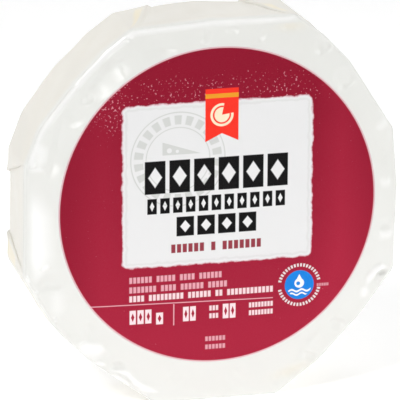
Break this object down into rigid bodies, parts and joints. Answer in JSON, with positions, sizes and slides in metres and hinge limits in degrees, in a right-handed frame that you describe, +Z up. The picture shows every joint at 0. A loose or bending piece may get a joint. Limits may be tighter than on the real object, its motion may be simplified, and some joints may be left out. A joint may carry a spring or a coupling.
{
  "type": "wrapped soft cheese wheel",
  "caption": "Small flat wheel of soft-ripened cheese folded shut in white waxed paper, with a round printed field on its face.",
  "frame": {"origin": "middle of the bounding box's underside, level with the flat of the rim that the wheel stands on", "axes": "+Z up; the printed face looks along -Y and the folded back along +Y, so Y is the wheel's own axis; +X to the right as the printed face is seen"},
  "size_m": [0.1038, 0.024, 0.1061],
  "materials": {
    "waxed_paper": "semi-gloss waxed paper, slightly translucent"
  },
  "bodies": {
    "root": {"wrapped_wheel": "waxed_paper"}
  },
  "joints": []
}
